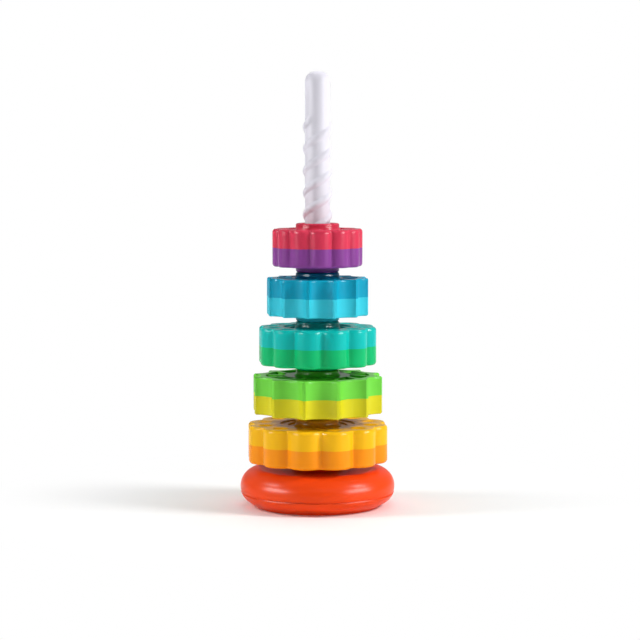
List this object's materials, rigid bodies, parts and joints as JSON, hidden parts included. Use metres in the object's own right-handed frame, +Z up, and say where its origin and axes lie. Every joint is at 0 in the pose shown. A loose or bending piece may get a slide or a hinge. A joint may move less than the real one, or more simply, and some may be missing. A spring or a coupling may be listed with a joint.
{
  "type": "spinning stacking tower",
  "caption": "Stacking toy whose lobed and toothed two-colour rings screw down a ridged pole on a rounded base, spinning as they drop.",
  "frame": {"origin": "middle of the underside of the base, on the table", "axes": "+Z up along the pole, -Y towards the front, +X to the right as seen from the front"},
  "size_m": [0.13, 0.13, 0.364],
  "materials": {
    "base_red": "glossy moulded plastic, orange-red",
    "pole_white": "glossy moulded plastic, white",
    "inner_plastic": "plain moulded plastic, natural",
    "screw_steel": "zinc-plated steel",
    "ring_yellow": "glossy moulded plastic, yellow",
    "ring_orange": "glossy moulded plastic, orange",
    "ring_green": "glossy moulded plastic, green",
    "ring_lime": "glossy moulded plastic, lime",
    "ring_teal": "glossy moulded plastic, teal",
    "ring_sea_green": "glossy moulded plastic, sea green",
    "ring_blue": "glossy moulded plastic, blue",
    "ring_cyan": "glossy moulded plastic, cyan",
    "ring_pink": "glossy moulded plastic, pink",
    "ring_purple": "glossy moulded plastic, purple"
  },
  "bodies": {
    "base": {"base_shell": "base_red", "base_cover": "base_red", "base_cover_screws": "screw_steel", "pole": "pole_white", "pole_plug": "inner_plastic", "pole_screw": "screw_steel", "pole_washer": "screw_steel"},
    "ring_5_carrier": {"ring_5_sleeve": "inner_plastic"},
    "ring_5": {"ring_5_upper": "ring_yellow", "ring_5_lower": "ring_orange"},
    "ring_4_carrier": {"ring_4_sleeve": "inner_plastic"},
    "ring_4": {"ring_4_upper": "ring_green", "ring_4_lower": "ring_lime"},
    "ring_3_carrier": {"ring_3_sleeve": "inner_plastic"},
    "ring_3": {"ring_3_upper": "ring_teal", "ring_3_lower": "ring_sea_green"},
    "ring_2_carrier": {"ring_2_sleeve": "inner_plastic"},
    "ring_2": {"ring_2_upper": "ring_blue", "ring_2_lower": "ring_cyan"},
    "ring_1_carrier": {"ring_1_sleeve": "inner_plastic"},
    "ring_1": {"ring_1_upper": "ring_pink", "ring_1_lower": "ring_purple"}
  },
  "joints": [
    {"name": "ring_5_lift", "type": "slide", "parent": "base", "child": "ring_5_carrier", "axis": [0, 0, 1], "range_m": [0, 0.335]},
    {"name": "ring_5_spin", "type": "hinge", "parent": "ring_5_carrier", "child": "ring_5", "pos_m": [0, 0, 0], "axis": [0, 0, 1], "range_deg": [0, 3300]},
    {"name": "ring_4_lift", "type": "slide", "parent": "ring_5", "child": "ring_4_carrier", "axis": [0, 0, 1], "range_m": [0, 0.294]},
    {"name": "ring_4_spin", "type": "hinge", "parent": "ring_4_carrier", "child": "ring_4", "pos_m": [0, 0, 0], "axis": [0, 0, 1], "range_deg": [0, 2890]},
    {"name": "ring_3_lift", "type": "slide", "parent": "ring_4", "child": "ring_3_carrier", "axis": [0, 0, 1], "range_m": [0, 0.253]},
    {"name": "ring_3_spin", "type": "hinge", "parent": "ring_3_carrier", "child": "ring_3", "pos_m": [0, 0, 0], "axis": [0, 0, 1], "range_deg": [0, 2490]},
    {"name": "ring_2_lift", "type": "slide", "parent": "ring_3", "child": "ring_2_carrier", "axis": [0, 0, 1], "range_m": [0, 0.211]},
    {"name": "ring_2_spin", "type": "hinge", "parent": "ring_2_carrier", "child": "ring_2", "pos_m": [0, 0, 0], "axis": [0, 0, 1], "range_deg": [0, 2080]},
    {"name": "ring_1_lift", "type": "slide", "parent": "ring_2", "child": "ring_1_carrier", "axis": [0, 0, 1], "range_m": [0, 0.171]},
    {"name": "ring_1_spin", "type": "hinge", "parent": "ring_1_carrier", "child": "ring_1", "pos_m": [0, 0, 0], "axis": [0, 0, 1], "range_deg": [0, 1680]}
  ],
  "couplings": [
    {"joint": "ring_5_lift", "follows": "ring_5_spin", "m_per_rad": 0.0058092},
    {"joint": "ring_4_lift", "follows": "ring_4_spin", "m_per_rad": 0.0058092},
    {"joint": "ring_3_lift", "follows": "ring_3_spin", "m_per_rad": 0.0058092},
    {"joint": "ring_2_lift", "follows": "ring_2_spin", "m_per_rad": 0.0058092},
    {"joint": "ring_1_lift", "follows": "ring_1_spin", "m_per_rad": 0.0058092}
  ]
}
